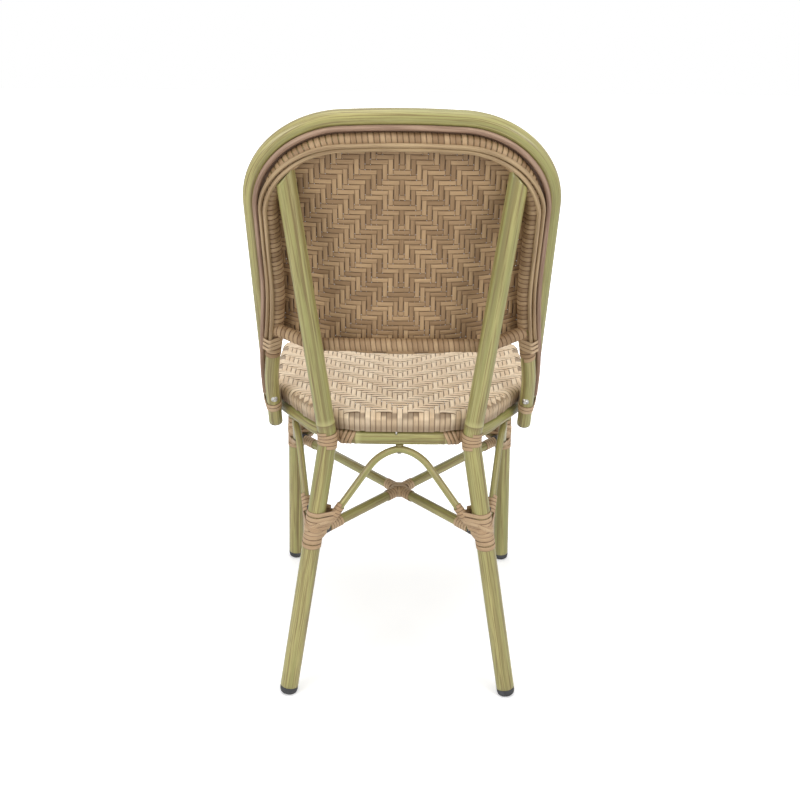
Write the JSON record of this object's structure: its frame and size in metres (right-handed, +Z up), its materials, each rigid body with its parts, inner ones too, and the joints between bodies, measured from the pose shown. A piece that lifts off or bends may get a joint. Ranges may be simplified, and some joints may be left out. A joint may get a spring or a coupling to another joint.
{
  "type": "rattan bistro chair",
  "caption": "Armless bistro side chair with a bent bamboo-look tube frame, strip-bound joints, an arched woven back and a woven seat.",
  "frame": {"origin": "on the ground, under the middle of the chair's overall length and width", "axes": "+Z up, -Y toward the front of the seat, +X toward the sitter's left"},
  "size_m": [0.4404, 0.4502, 0.897],
  "materials": {
    "frame_tube": "satin bamboo-look paint, yellow-green with brown streaks along the tube",
    "binding_strip": "flat rattan-look strip, semi-matt tan",
    "back_weave": "woven rattan-look strip, herringbone twill, tan brown",
    "seat_weave": "woven rattan-look strip, herringbone twill, pale tan",
    "trim_cane": "smooth round cane, satin",
    "black_rubber": "matt black",
    "bolt_steel": "bright zinc"
  },
  "bodies": {
    "root": {"seat_ring": "frame_tube", "rear_leg_left": "frame_tube", "rear_leg_right": "frame_tube", "front_leg_left": "frame_tube", "front_leg_right": "frame_tube", "stretcher_bar_long": "frame_tube", "stretcher_bar_rear": "frame_tube", "stretcher_bar_front": "frame_tube", "rear_arch": "frame_tube", "front_arch": "frame_tube", "side_arch_left": "frame_tube", "side_arch_right": "frame_tube", "outer_hoop": "frame_tube", "inner_hoop": "frame_tube", "seat_frame": "frame_tube", "rear_foot_cap_left": "black_rubber", "rear_foot_cap_right": "black_rubber", "front_foot_cap_left": "black_rubber", "front_foot_cap_right": "black_rubber", "rear_arch_spacer": "black_rubber", "front_arch_spacer": "black_rubber", "side_arch_spacer_left": "black_rubber", "side_arch_spacer_right": "black_rubber", "outer_hoop_plug_left": "black_rubber", "outer_hoop_plug_right": "black_rubber", "inner_hoop_plug_left": "black_rubber", "inner_hoop_plug_right": "black_rubber", "rear_arch_bolt": "bolt_steel", "front_arch_bolt": "bolt_steel", "side_arch_bolt_left": "bolt_steel", "side_arch_bolt_right": "bolt_steel", "hoop_bolt_left": "bolt_steel", "hoop_bolt_right": "bolt_steel", "filler_cane": "trim_cane", "outer_trim_cane": "trim_cane", "inner_trim_cane": "trim_cane", "back_panel": "back_weave", "seat_pad": "seat_weave", "back_bottom_rail": "binding_strip", "rear_leg_binding_left": "binding_strip", "rear_leg_binding_right": "binding_strip", "front_leg_binding_left": "binding_strip", "front_leg_binding_right": "binding_strip", "knee_binding_left": "binding_strip", "knee_binding_right": "binding_strip", "ring_binding_left": "binding_strip", "ring_binding_right": "binding_strip", "side_binding_upper_left": "binding_strip", "side_binding_upper_right": "binding_strip", "side_binding_lower_left": "binding_strip", "side_binding_lower_right": "binding_strip", "rear_bar_binding_left": "binding_strip", "rear_bar_binding_right": "binding_strip", "front_bar_binding_left": "binding_strip", "front_bar_binding_right": "binding_strip", "cross_binding_upper": "binding_strip", "cross_binding_lower": "binding_strip"}
  },
  "joints": []
}
